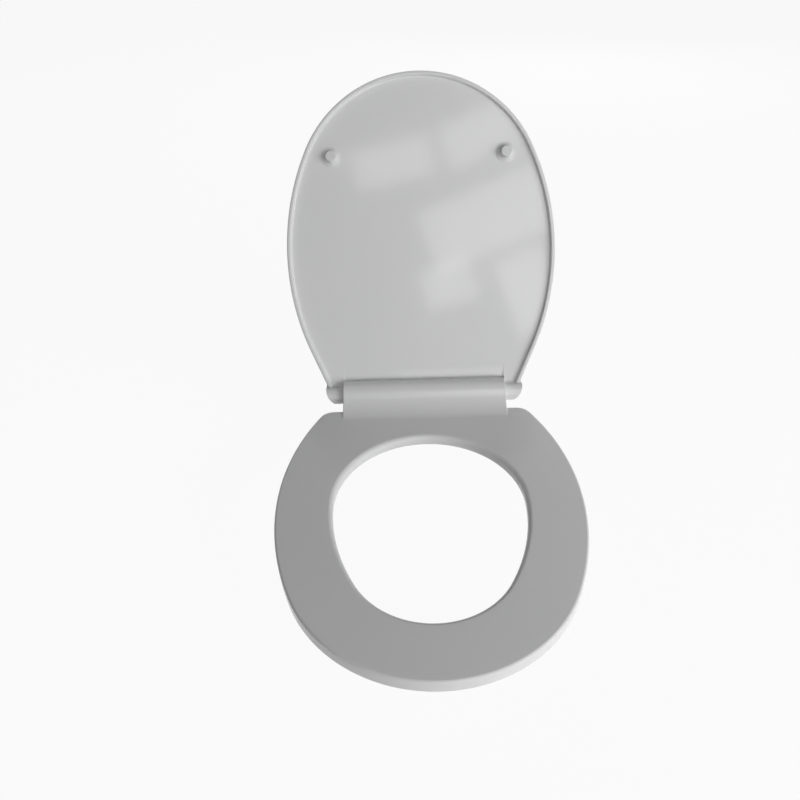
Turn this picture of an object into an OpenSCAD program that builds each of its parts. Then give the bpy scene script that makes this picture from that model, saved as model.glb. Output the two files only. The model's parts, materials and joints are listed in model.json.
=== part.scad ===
// Thermoset toilet seat with a soft-close lid, millimetres.
// Origin: midway between the two fixing studs, on the china they stand on.
// +Z is up and the front of the seat points to -Y.
// The ring lies down and the lid stands open at its resting angle.

/* [Ring] */
// Width of the ring at its widest
ring_w = 370; // [345:1:395]
// Distance from the hinge axis to the ring's front tip
ring_l = 440; // [415:1:465]
// Distance from the hinge axis to the ring's widest line
ring_mid = 200; // [185:1:215]
// Radius of the ring's flanks in plan
flank_r = 340; // [320:1:380]
// Thickness of the ring
ring_t = 17; // [15:0.5:22]
// Distance from the hinge axis to the ring's rear edge
ring_rear = 30; // [28:0.5:34]
// Radius of the ring's rear corners in plan
rear_r = 20; // [15:1:24]
// Rounding of the ring's outer edge, top
ring_edge_r = 3; // [2:0.5:5]
// Rounding of the ring's edges, underneath
under_edge_r = 1.5; // [1:0.5:3]

/* [Opening] */
// Width of the opening
open_w = 232; // [220:1:250]
// Distance from the hinge axis to the front of the opening
open_l = 373; // [360:1:380]
// Distance from the hinge axis to the opening's widest line
open_mid = 205; // [195:1:215]
// Radius of the opening's flanks in plan
open_flank_r = 239; // [225:1:260]
// Rounding of the opening's upper edge
open_edge_r = 6; // [4:0.5:8]

/* [Lid] */
// How far the lid reaches past the ring all round
lid_over = 2.5; // [1:0.5:4]
// Thickness of the lid's plate
lid_t = 6; // [5:0.5:8]
// Gap between the ring's top and the lid's plate when closed
lid_gap = 9.5; // [8:0.5:12]
// Width of the lip round the lid
lip_w = 5.5; // [4:0.5:8]
// Height of the lip below the lid's plate
lip_h = 5.5; // [4:0.5:7]
// Rounding of the lid's outer edge
lid_edge_r = 4; // [3:0.5:6]
// Fillet between the lip and the plate
lip_fillet_r = 3; // [2:0.5:4]
// Angle at which the lid rests when open
lid_open = 122; // [95:1:125]
// Angle of the lid's straight rear sides to the midline
side_angle = 23.7; // [21:0.1:25]

/* [Hinge] */
// Height of the hinge axis above the ring's top
axis_up = 4.5; // [3:0.5:8]
// How far the hinge axis lies behind the studs
axis_back = 9; // [7:0.5:12]
// Width of the seat's hinge knuckle
knuckle_w = 228; // [218:1:238]
// Outer radius of the knuckle
knuckle_r = 20; // [18:0.5:22]
// Where the knuckle's front sweep meets the ring's top
sweep_l = 52; // [46:1:60]
// Thickness of the knuckle's end walls
end_wall_t = 11.5; // [9:0.5:14]
// Outer radius of the lid's hinge ears
ear_r = 12; // [11:0.5:13]
// Gap between the knuckle and each ear
ear_gap = 1; // [0.5:0.1:2]
// Length of the ears' turned-down ends, from the knuckle outwards
ear_l = 24; // [22:0.5:27]
// Radius of the ears' rounded ends in plan
ear_end_r = 30; // [26:1:34]
// Depth of the bore in each ear
ear_bore_l = 14; // [11:0.5:15]
// Gap between the knuckle and the edge of the lid's cut-out
notch_gap = 1.5; // [1:0.25:3]
// Where the relief under the lid's rear edge starts, from the axis
relief_l = 43; // [38:1:50]
// How far the seat lifts
seat_lift = 100; // [85:1:100]

/* [Posts and dampers] */
// Distance between the two studs
stud_spacing = 155; // [145:1:160]
// Outer radius of the post's barrel
barrel_r = 12.5; // [12:0.25:13]
// Length of the post's barrel
barrel_l = 49; // [44:1:50]
// Radius of the damper's body
damper_r = 9; // [8:0.25:9.5]
// Length of the damper's body
damper_l = 45; // [38:1:46]
// Radius of the damper's shaft
shaft_r = 4; // [3.5:0.25:4.5]
// Width across the shaft's two flats
shaft_flats = 5.6; // [5:0.2:6.4]
// Thickness of the post's neck, front to back
neck_t = 12; // [10:0.5:13]
// Width of the post's neck
neck_w = 24; // [20:1:30]
// Radius of the post's foot
foot_r = 15; // [13:0.5:17]
// Thickness of the post's foot
foot_t = 3.5; // [3:0.25:4]
// Radius of the boss that the stud screws into
boss_r = 7.5; // [6.5:0.25:8]
// Height of that boss above the foot
boss_h = 6; // [4:0.5:7]
// Width of the key along the damper's body
key_w = 3; // [2:0.25:4]
// Height of that key
key_h = 1.5; // [1:0.25:2]
// Length of shaft inside the damper
shaft_in = 15; // [10:1:18]
// Outer radius of the bushes and keyed inserts
bush_r = 6.5; // [6:0.25:7.5]
// Thickness of the flanges between the barrels and the end walls
flange_t = 1.7; // [1:0.1:2.5]

/* [Base and fixings] */
// Thickness of the rubber gasket on the china
gasket_t = 1.5; // [1:0.5:2.5]
// Height of the base cover plate
cover_t = 3; // [2:0.5:4]
// Radius of the base cover plate
cover_r = 21; // [18:0.5:24]
// Radius of the stud's plain shank
stud_r = 4; // [3:0.5:5]
// Depth of a thread between the shank and its core
thread_depth = 0.4; // [0.3:0.05:0.6]
// Thickness of the china that the seat is bolted to
china_t = 28; // [24:1:32]
// Length of stud below the china
stud_tail = 34; // [28:1:45]
// Height of the rubber washer's cone, inside the china's hole
cone_h = 9; // [6:0.5:11]
// Thickness of the rubber washer's flange
cone_flange_t = 5; // [3:0.5:6]
// Radius of the washers under the china
washer_r = 16; // [14:0.5:18]
// Thickness of the flat washer
washer_t = 2; // [1.5:0.5:3]
// Radius of the wing nut's hub
nut_r = 8; // [7:0.5:9]
// Height of the wing nut's hub
nut_h = 12; // [10:1:15]
// Thickness of the wing nut's wings
wing_t = 4; // [3:0.5:5]
// Span of the wing nut's wings
nut_span = 38; // [32:1:44]

/* [Buffers] */
// Height of the buffers that stand on the china
buffer_h = 9; // [8:0.5:11]
// Length of a ring buffer
buffer_l = 30; // [24:1:36]
// Width of a ring buffer
buffer_w = 14; // [12:1:18]
// Depth of a ring buffer's plug in the ring
plug_l = 6; // [4:0.5:8]
// Radius of a buffer's plug
plug_r = 3.5; // [3:0.25:4.5]
// Distance from the ring's outer edge to its buffers
buffer_in = 33; // [28:1:36]
// Angle of the front ring buffers round the front arc
buffer_front_angle = 50; // [40:1:55]
// Angle of the rear ring buffers round the flank arcs
buffer_rear_angle = 20; // [17:0.5:22]
// Depth of a lid buffer's plug in the lid
lid_plug_l = 3.5; // [2.5:0.5:4]
// Distance from the lid's outer edge to its buffers
lid_buffer_in = 36.5; // [32:0.5:42]
// Angle of the lid buffers round the front arc
lid_buffer_angle = 63; // [50:1:68]
// Diameter of a lid buffer's base
lid_buffer_d = 27; // [24:1:30]
// Diameter of a lid buffer's flat top
lid_buffer_top_d = 15; // [12:1:17]

/* [Clearances] */
// Gap round a shaft that turns
run_gap = 0.05; // [0.02:0.01:0.08]
// Gap round a piece that is fitted and stays put
fit_gap = 0.05; // [0.02:0.01:0.08]
// Gap between moving pieces that don't touch
move_gap = 0.5; // [0.4:0.1:0.8]
// Gap left where a buffer comes to rest
rest_gap = 0.3; // [0.2:0.1:0.5]

/* [Hidden] */
$fn = 96;
china = "WhiteSmoke";
rubber = "DimGray";
metal = "Silver";
bushing = "Ivory";

// Heights from here on are measured from the hinge axis, unless they say china.
ring_top = -axis_up;
ring_bottom = ring_top - ring_t;
axis_z = buffer_h + ring_t + axis_up;           // the axis above the china
lid_under = ring_top + lid_gap;
lid_top = lid_under + lid_t;
lip_bottom = lid_under - lip_h;

// An egg outline has two flank arcs and one front arc that touches them both.
// reach is the distance from the widest line to the tip.
function tip_r(half_w, reach, side_r) =
    (side_r ^ 2 - reach ^ 2 - (side_r - half_w) ^ 2) / (2 * (side_r - reach));
function meet(half_w, reach, side_r) =
    atan2(side_r - half_w, reach - tip_r(half_w, reach, side_r));

ring_reach = ring_l - ring_mid;
ring_tip_r = tip_r(ring_w / 2, ring_reach, flank_r);
ring_tip_c = ring_l - ring_tip_r;               // centre of the front arc
ring_meet = meet(ring_w / 2, ring_reach, flank_r);
flank_c = flank_r - ring_w / 2;                 // centre of a flank arc, past the midline

open_reach = open_l - open_mid;
open_tip_r = tip_r(open_w / 2, open_reach, open_flank_r);
open_tip_c = open_l - open_tip_r;
open_meet = meet(open_w / 2, open_reach, open_flank_r);
open_flank_c = open_flank_r - open_w / 2;

// Each rear corner arc of the ring touches the flank and the straight rear edge.
corner_d = ring_rear + rear_r;
corner_x = sqrt((flank_r - rear_r) ^ 2 - (ring_mid - corner_d) ^ 2) - flank_c;
corner_angle = atan2(ring_mid - corner_d, corner_x + flank_c);

arc_steps = 16;                                 // straight pieces in each arc of an outline
round_steps = 5;                                // and in each rounding of an edge
bite = 0.05;                                    // how far a sweep cuts into the flat that it runs out on

// The knuckle's front sweep is a hollow arc that touches the knuckle and the deck.
sweep_r = (sweep_l ^ 2 + axis_up ^ 2 - knuckle_r ^ 2) / (2 * (knuckle_r + axis_up));
sweep_z = ring_top + sweep_r;
sweep_angle = atan2(sweep_z, sweep_l);
function sweep_height(d) = sweep_z - sqrt(sweep_r ^ 2 - (sweep_l - d) ^ 2);

knuckle_x = knuckle_w / 2;
end_wall_x = knuckle_x - end_wall_t;            // inner face of the end wall
stud_x = stud_spacing / 2;
barrel_x = end_wall_x - flange_t - rest_gap;    // outer end of the post's barrel
cavity_x = barrel_x - barrel_l - move_gap;      // inner side of the post's cavity
cavity_r = barrel_r + move_gap;

// The cored middle of the knuckle
rib_t = 3.5;
wall_t = 5;
core_x = cavity_x - wall_t;

// Foot of the post, measured from the china
foot_z = gasket_t + cover_t;
foot_top = foot_z + foot_t;
neck_angle = atan2(axis_z - foot_top, axis_back);
cavity_front = axis_back + boss_r + move_gap;

ear_x = knuckle_x + ear_gap;                    // inner face of an ear
ear_end_x = ear_x + ear_l;
notch_r = knuckle_r + notch_gap;                // the lid is cut out round the knuckle
relief_h = sweep_height(notch_r) + notch_gap - lid_under;
relief_r = ((relief_l - notch_r) ^ 2 + relief_h ^ 2) / (2 * relief_h);
lid_tip_r = ring_tip_r + lid_over;
lid_flank_r = flank_r + lid_over;
side_end_d = ear_r - 4;                         // the lid's slab ends inside the ear's boss

tip_shaft_r = shaft_flats / 2;                  // passes through the keyed hole
thread_r = stud_r - thread_depth;
shank_l = china_t - cone_h - 1;
cone_x = thread_r + thread_depth + rest_gap;    // bore of the washers

// Moves a shape drawn round the hinge axis to its place
module at_hinge() { translate([0, axis_back, axis_z]) children(); }

// Moves a shape drawn on the closed lid to its place
module on_lid() { at_hinge() rotate([-lid_open, 0, 0]) children(); }

// Draws the right-hand shape, or its mirror image on the left
module side(left) { mirror([left ? 1 : 0, 0, 0]) children(); }

// Extrudes a profile across the seat. The profile is drawn with x to the rear and y up.
module across(x0, x1) { translate([x0, 0, 0]) rotate([90, 0, 90]) linear_extrude(x1 - x0) children(); }

// A round bar along the hinge axis
module bar(r, x0, x1) { across(x0, x1) circle(r); }

// A bar with two flats, for the keyed joints
module keyed_bar(r, flats, x0, x1) {
    across(x0, x1) intersection() {
        circle(r);
        square([3 * r, flats], center = true);
    }
}

// Points of an arc in plan. Angles are counted from +X, towards the rear.
function arc(x, d, r, a0, a1, first = 1, steps = arc_steps) =
    [for (i = [first : steps]) let (a = a0 + (a1 - a0) * i / steps) [x + r * cos(a), r * sin(a) - d]];

// A closed ring of points at one height, from the outline of the right half
function level(half, z) = concat(
    [for (p = half) [p[0], p[1], z]],
    [for (i = [len(half) - 2 : -1 : 1]) [-half[i][0], half[i][1], z]]
);

// Inset and height of each level of a slab's edge, from its underside to its top
function edge(z0, z1, lower_r, upper_r) = let (step = 90 / round_steps) concat(
    [for (a = [0 : step : 90]) [lower_r * (1 - sin(a)), z0 + lower_r * (1 - cos(a))]],
    [for (a = [0 : step : 90]) [upper_r * (1 - cos(a)), z1 - upper_r * (1 - sin(a))]]
);

// Skin over levels of points. Its ends are capped, or the last level joins the first.
module loft(levels, joined = false) {
    n = len(levels[0]);
    m = len(levels);
    skin = [
        for (i = [0 : joined ? m - 1 : m - 2], j = [0 : n - 1])
            let (next = (j + 1) % n, up = (i + 1) % m)
                each [[i * n + j, up * n + j, up * n + next], [i * n + j, up * n + next, i * n + next]]
    ];
    caps = [[for (j = [0 : n - 1]) j], [for (j = [n - 1 : -1 : 0]) (m - 1) * n + j]];
    polyhedron(points = [for (l = levels) each l], faces = concat(skin, joined ? [] : caps));
}

// Right half of the ring's outline, from the front tip to the midline at the rear
function ring_half(inset) = concat(
    arc(0, ring_tip_c, ring_tip_r - inset, -90, ring_meet - 90, first = 0),
    arc(-flank_c, ring_mid, flank_r - inset, ring_meet - 90, corner_angle),
    arc(corner_x, corner_d, rear_r - inset, corner_angle, 90, steps = arc_steps - 1),
    [[0, -ring_rear - inset]]
);

// The same for the opening, whose edge is rounded into the ring
function open_half(inset) = concat(
    arc(0, open_tip_c, open_tip_r + inset, -90, open_meet - 90, first = 0),
    arc(-open_flank_c, open_mid, open_flank_r + inset, open_meet - 90, 0),
    arc(0, open_mid, open_w / 2 + inset, 0, 90)
);

// The ring without its knuckle: up its outer edge, across the deck and down the opening
module ring_slab() {
    outer = edge(ring_bottom, ring_top, under_edge_r, ring_edge_r);
    inner = edge(ring_bottom, ring_top, under_edge_r, open_edge_r);
    loft(concat(
        [for (e = outer) level(ring_half(e[0]), e[1])],
        [for (i = [len(inner) - 1 : -1 : 0]) level(open_half(inner[i][0]), inner[i][1])]
    ), joined = true);
}

// Profile of the knuckle, its front sweep and the deck below it
module knuckle_profile() {
    touch = [knuckle_r * cos(sweep_angle), knuckle_r * sin(sweep_angle)];
    circle(knuckle_r);
    difference() {
        polygon([
            [0, 0], [-touch[0], touch[1]], [-sweep_l, touch[1]], [-sweep_l, ring_bottom],
            [-cavity_front, ring_bottom], [-knuckle_r * cos(60), -knuckle_r * sin(60)]
        ]);
        translate([-sweep_l, sweep_z]) circle(sweep_r + bite);
    }
}

// Room for a post: its barrel, and its neck as the seat lifts round it
module cavity_profile() {
    reach = 3 * knuckle_r;
    half = neck_t / 2 + move_gap;
    lifted = -neck_angle - seat_lift;           // the neck's direction in the lifted seat
    far = [for (a = [-neck_angle - 30 : -30 : lifted + 1]) [-reach * cos(a), reach * sin(a)]];
    circle(cavity_r);
    polygon(concat(
        [[0, -knuckle_r / 4], [-cavity_front, -knuckle_r / 4], [-cavity_front, -reach]], far,
        [[-reach * cos(lifted) - half * sin(lifted), reach * sin(lifted) - half * cos(lifted)],
         [-half * sin(lifted), -half * cos(lifted)]]
    ));
}

// Hollow under the middle of the knuckle
module core_profile() {
    r = knuckle_r - wall_t;
    circle(r);
    translate([-r, -2 * r]) square([2 * r, 2 * r]);
}

module seat_ring() {
    color(china) at_hinge() difference() {
        union() {
            ring_slab();
            across(-knuckle_x, knuckle_x) knuckle_profile();
        }
        for (left = [false, true]) side(left) {
            across(cavity_x, end_wall_x) cavity_profile();
            across(rib_t / 2, core_x / 2 - rib_t / 2) core_profile();
            across(core_x / 2 + rib_t / 2, core_x) core_profile();
            bar(bush_r + fit_gap, end_wall_x - 1, knuckle_x + 1);
            for (rear = [false, true]) at_ring_buffer(rear)
                translate([0, 0, ring_bottom - 1]) cylinder(r = plug_r + fit_gap, h = plug_l + 1 + rest_gap);
        }
    }
}

// Right half of the lid's outline, with straight sides behind the flanks
function lid_half(inset) =
    let (
        r = lid_flank_r - inset,
        side_x = r * cos(side_angle) - flank_c,
        side_y = r * sin(side_angle) - ring_mid,
        rear_y = lip_w + lip_fillet_r + 1 - side_end_d - inset
    ) concat(
        arc(0, ring_tip_c, lid_tip_r - inset, -90, ring_meet - 90, first = 0),
        arc(-flank_c, ring_mid, r, ring_meet - 90, side_angle),
        [[side_x - (rear_y - side_y) * tan(side_angle), rear_y], [0, rear_y]]
    );

// The lid's plate and lip: out of the dish, round the lip and up its outer edge. The rear is cut open.
module lid_slab() {
    lip_r = lip_w / 3;
    step = 90 / round_steps;
    dish = [for (a = [0 : step : 90])
        [lip_w + lip_fillet_r * (1 - sin(a)), lid_under - lip_fillet_r * (1 - cos(a))]];
    lip = [for (a = [0 : step : 90])
        [lip_w - lip_r * (1 - cos(a)), lip_bottom + lip_r * (1 - sin(a))]];
    levels = concat(dish, lip, edge(lip_bottom, lid_top, lip_r, lid_edge_r));
    difference() {
        loft([for (e = levels) level(lid_half(e[0]), e[1])]);
        translate([-ring_w, -side_end_d, lip_bottom - 1]) cube([2 * ring_w, ring_w, 2 * lid_top]);
    }
}

// Rounded end of an ear in plan
module ear_plan() { translate([ear_end_x - ear_end_r, -ear_r]) circle(ear_end_r); }

// An ear: a round boss on the hinge axis, and the plate between it and the lid
module ear() {
    intersection() {
        union() {
            bar(ear_r, ear_x, ear_end_x + 1);
            translate([ear_x, -notch_r, lid_under]) cube([ear_l, notch_r - ear_r / 4, lid_t]);
        }
        translate([0, 0, -2 * ear_r]) linear_extrude(4 * ear_r) ear_plan();
    }
}

module lid() {
    color(china) on_lid() difference() {
        union() {
            lid_slab();
            for (left = [false, true]) side(left) ear();
        }
        bar(notch_r, -ear_x, ear_x);
        across(-knuckle_x, knuckle_x) difference() {
            translate([-relief_l, lip_bottom]) square([relief_l, lid_under + relief_h + 1 - lip_bottom]);
            translate([-relief_l, lid_under + relief_r]) circle(relief_r + bite);
        }
        for (left = [false, true]) side(left) {
            bar(bush_r + fit_gap, ear_x - 1, ear_x + ear_bore_l + rest_gap);
            at_lid_buffer() translate([0, 0, -1])
                cylinder(r = plug_r + fit_gap, h = lid_plug_l + 1 + rest_gap);
        }
    }
}

// Puts a shape under the lid's plate at the buffer on the right
module at_lid_buffer() {
    translate([0, -ring_tip_c, lid_under]) rotate([0, 0, lid_buffer_angle - 90])
        translate([lid_tip_r - lid_buffer_in, 0, 0]) children();
}

// Rubber buffer on the lid: a flared pip on a plug
module lid_buffer(left) {
    height = lid_gap - rest_gap;
    r1 = lid_buffer_d / 2;
    r0 = lid_buffer_top_d / 2;
    flare = r1 - r0;
    color(china) on_lid() side(left) at_lid_buffer() {
        rotate_extrude() difference() {
            union() {
                translate([0, -height]) square([r0, height]);
                translate([0, -flare]) square([r1, flare]);
            }
            translate([r1, -flare]) circle(flare);
        }
        cylinder(r = plug_r, h = lid_plug_l);
    }
}

// Puts a shape under the ring at a buffer on the right
module at_ring_buffer(rear) {
    if (rear)
        translate([-flank_c, -ring_mid, 0]) rotate([0, 0, buffer_rear_angle])
            translate([flank_r - buffer_in, 0, 0]) children();
    else
        translate([0, -ring_tip_c, 0]) rotate([0, 0, buffer_front_angle - 90])
            translate([ring_tip_r - buffer_in, 0, 0]) children();
}

module pill(l, w) {
    square([w, l - w], center = true);
    for (y = [-1, 1]) translate([0, y * (l - w) / 2]) circle(w / 2);
}

// Rubber buffer between the ring and the china
module seat_buffer(left, rear) {
    step = 1.5;
    color(rubber) at_hinge() side(left) at_ring_buffer(rear) translate([0, 0, ring_bottom]) {
        translate([0, 0, step - buffer_h]) linear_extrude(buffer_h - step) pill(buffer_l, buffer_w);
        translate([0, 0, -buffer_h]) linear_extrude(buffer_h) pill(buffer_l - 2 * step, buffer_w - 2 * step);
        cylinder(r = plug_r, h = plug_l);
    }
}

// Flanged sleeve in the seat's end wall, round or keyed inside
module wall_sleeve(left, keyed) {
    color(keyed ? metal : bushing) at_hinge() side(left) difference() {
        union() {
            bar(bush_r, end_wall_x - 0.1, knuckle_x);
            bar(bush_r + 2, end_wall_x - flange_t, end_wall_x);
        }
        if (keyed) keyed_bar(shaft_r + fit_gap, shaft_flats + 2 * fit_gap, barrel_x, knuckle_x + 1);
        else bar(shaft_r + run_gap, barrel_x, knuckle_x + 1);
    }
}

// Sleeve in an ear of the lid, round or keyed inside
module ear_sleeve(left, keyed) {
    color(keyed ? metal : bushing) on_lid() side(left) difference() {
        bar(bush_r, ear_x, ear_x + ear_bore_l);
        if (keyed) keyed_bar(shaft_r + fit_gap, shaft_flats + 2 * fit_gap, ear_x - 1, ear_x + ear_bore_l + 1);
        else bar(tip_shaft_r + run_gap, ear_x - 1, ear_x + ear_bore_l + 1);
    }
}

// Shaft that turns with the lid: round through the seat's end wall, keyed in the ear
module damper_shaft_left() {
    color(metal) on_lid() side(true) {
        bar(shaft_r, barrel_x - shaft_in, knuckle_x);
        keyed_bar(shaft_r, shaft_flats, knuckle_x - 0.5, ear_x + ear_bore_l - rest_gap);
    }
}

// Shaft that turns with the seat: keyed in the end wall, with a plain tip that carries the ear
module damper_shaft_right() {
    color(metal) at_hinge() {
        bar(shaft_r, barrel_x - shaft_in, end_wall_x - flange_t - rest_gap / 2);
        keyed_bar(shaft_r, shaft_flats, barrel_x, knuckle_x);
        bar(tip_shaft_r, knuckle_x - 0.5, ear_x + ear_bore_l - rest_gap);
    }
}

// Sealed damper: a round body with a key along it and a blind bore for the shaft
module damper_body(left) {
    color("DarkSlateGray") at_hinge() side(left) difference() {
        union() {
            bar(damper_r, barrel_x - damper_l, barrel_x);
            translate([barrel_x - damper_l, -key_w / 2, 0]) cube([damper_l - key_w, key_w, damper_r + key_h]);
        }
        bar(shaft_r + run_gap, barrel_x - shaft_in - rest_gap, barrel_x + 1);
    }
}

// Post: a barrel for the damper, a neck that leans over the stud, and a round foot
module hinge_post(left) {
    half = neck_t / 2 / sin(neck_angle);
    low = foot_top - axis_z - foot_t / 2;
    lean = -low / tan(neck_angle);
    color(metal) side(left) difference() {
        union() {
            at_hinge() bar(barrel_r, barrel_x - barrel_l, barrel_x);
            at_hinge() across(stud_x - neck_w / 2, stud_x + neck_w / 2)
                polygon([[-half, 0], [half, 0], [half - lean, low], [-half - lean, low]]);
            translate([stud_x, 0, foot_z]) cylinder(r = foot_r, h = foot_t);
            translate([stud_x, 0, foot_z]) cylinder(r = boss_r, h = foot_t + boss_h);
        }
        at_hinge() bar(damper_r + fit_gap, barrel_x - damper_l - rest_gap, barrel_x + 1);
        at_hinge() translate([barrel_x - damper_l - rest_gap, -key_w / 2 - fit_gap, 0])
            cube([damper_l + 1, key_w + 2 * fit_gap, damper_r + key_h + fit_gap]);
        translate([stud_x, 0, foot_z - 1]) cylinder(r = thread_r + fit_gap, h = 1 + foot_t + boss_h - 1.5);
    }
}

// Puts a shape at a stud
module at_stud(left) { side(left) translate([stud_x, 0, 0]) children(); }

// Round cover plate with a rolled upper edge
module base_cover(left) {
    color(metal) at_stud(left) translate([0, 0, gasket_t]) rotate_extrude() difference() {
        union() {
            square([cover_r, cover_t / 2]);
            square([cover_r - cover_t / 2, cover_t]);
            translate([cover_r - cover_t / 2, cover_t / 2]) circle(cover_t / 2);
        }
        square([2 * (stud_r + rest_gap), 3 * cover_t], center = true);
    }
}

module base_gasket(left) {
    color(rubber) at_stud(left) difference() {
        cylinder(r = cover_r - cover_t / 2, h = gasket_t);
        translate([0, 0, -1]) cylinder(r = stud_r + rest_gap, h = gasket_t + 2);
    }
}

// Stud: a plain shank through the china, threaded above and below
module fixing_stud(left) {
    color(metal) at_stud(left) {
        translate([0, 0, -shank_l]) cylinder(r = stud_r, h = shank_l);
        translate([0, 0, -china_t - stud_tail])
            cylinder(r = thread_r, h = china_t + stud_tail + foot_top + boss_h - 2);
    }
}

// Rubber washer: a cone in the china's hole on a flange under the china
module cone_washer(left) {
    color(rubber) at_stud(left) translate([0, 0, -china_t]) difference() {
        union() {
            translate([0, 0, -cone_flange_t]) cylinder(r = washer_r, h = cone_flange_t);
            cylinder(r1 = washer_r * 0.7, r2 = cone_x + 1.5, h = cone_h);
        }
        translate([0, 0, -cone_flange_t - 1]) cylinder(r = cone_x, h = cone_flange_t + cone_h + 2);
    }
}

module flat_washer(left) {
    color(metal) at_stud(left) translate([0, 0, -china_t - cone_flange_t - washer_t]) difference() {
        cylinder(r = washer_r, h = washer_t);
        translate([0, 0, -1]) cylinder(r = cone_x, h = washer_t + 2);
    }
}

// Wing nut: a tapered hub with two upswept wings
module wing_nut(left) {
    color("Gainsboro") at_stud(left) translate([0, 0, -china_t - cone_flange_t - washer_t - nut_h])
    difference() {
        union() {
            cylinder(r1 = nut_r - 1.5, r2 = nut_r, h = nut_h);
            rotate([90, 0, 0]) translate([0, 0, -wing_t / 2]) linear_extrude(wing_t) {
                wing_r = nut_h / 2 - 1;
                translate([wing_r - nut_span / 2, 0]) square([nut_span - 2 * wing_r, 2 * wing_r - 1.5]);
                for (s = [-1, 1]) translate([s * (nut_span / 2 - wing_r), wing_r - 1.5]) circle(wing_r);
            }
        }
        translate([0, 0, -1]) cylinder(r = thread_r + fit_gap, h = nut_h + 2);
    }
}

seat_ring();
lid();
lid_buffer(true);  // lid_buffer_left
lid_buffer(false);  // lid_buffer_right
seat_buffer(true, false);  // seat_buffer_front_left
seat_buffer(false, false);  // seat_buffer_front_right
seat_buffer(true, true);  // seat_buffer_rear_left
seat_buffer(false, true);  // seat_buffer_rear_right
wall_sleeve(true, false);  // seat_bush_left
wall_sleeve(false, true);  // seat_insert_right
ear_sleeve(true, true);  // lid_insert_left
ear_sleeve(false, false);  // lid_bush_right
damper_shaft_left();
damper_shaft_right();
damper_body(true);  // damper_body_left
damper_body(false);  // damper_body_right
hinge_post(true);  // hinge_post_left
hinge_post(false);  // hinge_post_right
base_cover(true);  // base_cover_left
base_cover(false);  // base_cover_right
base_gasket(true);  // base_gasket_left
base_gasket(false);  // base_gasket_right
fixing_stud(true);  // fixing_stud_left
fixing_stud(false);  // fixing_stud_right
cone_washer(true);  // cone_washer_left
cone_washer(false);  // cone_washer_right
flat_washer(true);  // flat_washer_left
flat_washer(false);  // flat_washer_right
wing_nut(true);  // wing_nut_left
wing_nut(false);  // wing_nut_right
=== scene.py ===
"""A white toilet seat with its lid raised, on chromed hinge posts."""

import json
import math

import bmesh
import bpy
from mathutils import Matrix, Quaternion, Vector


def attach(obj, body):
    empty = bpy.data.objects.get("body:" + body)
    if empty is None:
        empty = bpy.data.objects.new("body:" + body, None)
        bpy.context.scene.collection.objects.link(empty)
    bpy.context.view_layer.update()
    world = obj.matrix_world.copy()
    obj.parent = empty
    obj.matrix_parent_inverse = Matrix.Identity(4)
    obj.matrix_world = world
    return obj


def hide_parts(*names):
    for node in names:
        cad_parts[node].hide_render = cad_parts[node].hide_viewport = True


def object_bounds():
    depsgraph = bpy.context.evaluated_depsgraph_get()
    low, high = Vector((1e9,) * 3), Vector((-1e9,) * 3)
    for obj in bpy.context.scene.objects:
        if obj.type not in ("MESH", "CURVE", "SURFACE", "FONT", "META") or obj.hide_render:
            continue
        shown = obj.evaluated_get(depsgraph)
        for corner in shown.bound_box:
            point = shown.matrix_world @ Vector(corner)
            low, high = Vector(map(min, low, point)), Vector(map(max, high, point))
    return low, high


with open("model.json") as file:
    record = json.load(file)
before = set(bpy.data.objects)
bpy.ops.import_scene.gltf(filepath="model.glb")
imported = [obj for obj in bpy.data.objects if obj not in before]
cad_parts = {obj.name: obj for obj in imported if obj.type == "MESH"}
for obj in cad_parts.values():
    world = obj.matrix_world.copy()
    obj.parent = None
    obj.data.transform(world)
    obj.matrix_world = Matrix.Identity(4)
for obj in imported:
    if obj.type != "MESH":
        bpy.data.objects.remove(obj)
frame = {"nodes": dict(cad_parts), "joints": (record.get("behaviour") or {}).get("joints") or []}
cad_box = [list(corner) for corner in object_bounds()]


# Camera. It stands in front of the seat and looks down into it, a little from the left,
# with a wide lens held slightly off level, as the photograph was taken.
turned, dipped, rolled = math.radians(-1.05), math.radians(37.98), math.radians(-2.1)
ahead = Vector((math.sin(turned) * math.cos(dipped), math.cos(turned) * math.cos(dipped),
                -math.sin(dipped)))
level = Vector((math.cos(turned), -math.sin(turned), 0))
above = level.cross(ahead)
sideways = level * math.cos(rolled) + above * math.sin(rolled)
upright = above * math.cos(rolled) - level * math.sin(rolled)
bpy.ops.object.camera_add(location=(-0.0201, -0.785, 0.6397))
camera = bpy.context.object
camera.name = "camera"
camera.rotation_euler = Matrix((sideways, upright, -ahead)).transposed().to_euler()
camera.data.sensor_width = 36
camera.data.lens = 31.51
bpy.context.scene.camera = camera


# Floor and surroundings. A matt white floor lies under the tips of the studs. Seen directly
# or in a reflection the room is plain white; what lights the seat is a soft grey dome.
class Value:
    """A socket that can be used in a sum: each operator adds the Math node for it."""

    def __init__(self, shade, socket):
        self.shade, self.socket = shade, socket

    def math(self, operation, *terms):
        return self.shade.node("ShaderNodeMath", {"operation": operation}, dict(enumerate(terms)))

    def __add__(self, other):
        return self.math("ADD", self, other)

    def __mul__(self, other):
        return self.math("MULTIPLY", self, other)

    def clamped(self):
        return self.math("MAXIMUM", self.math("MINIMUM", self, 1.0), 0.0)

    __radd__, __rmul__ = __add__, __mul__


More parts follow.
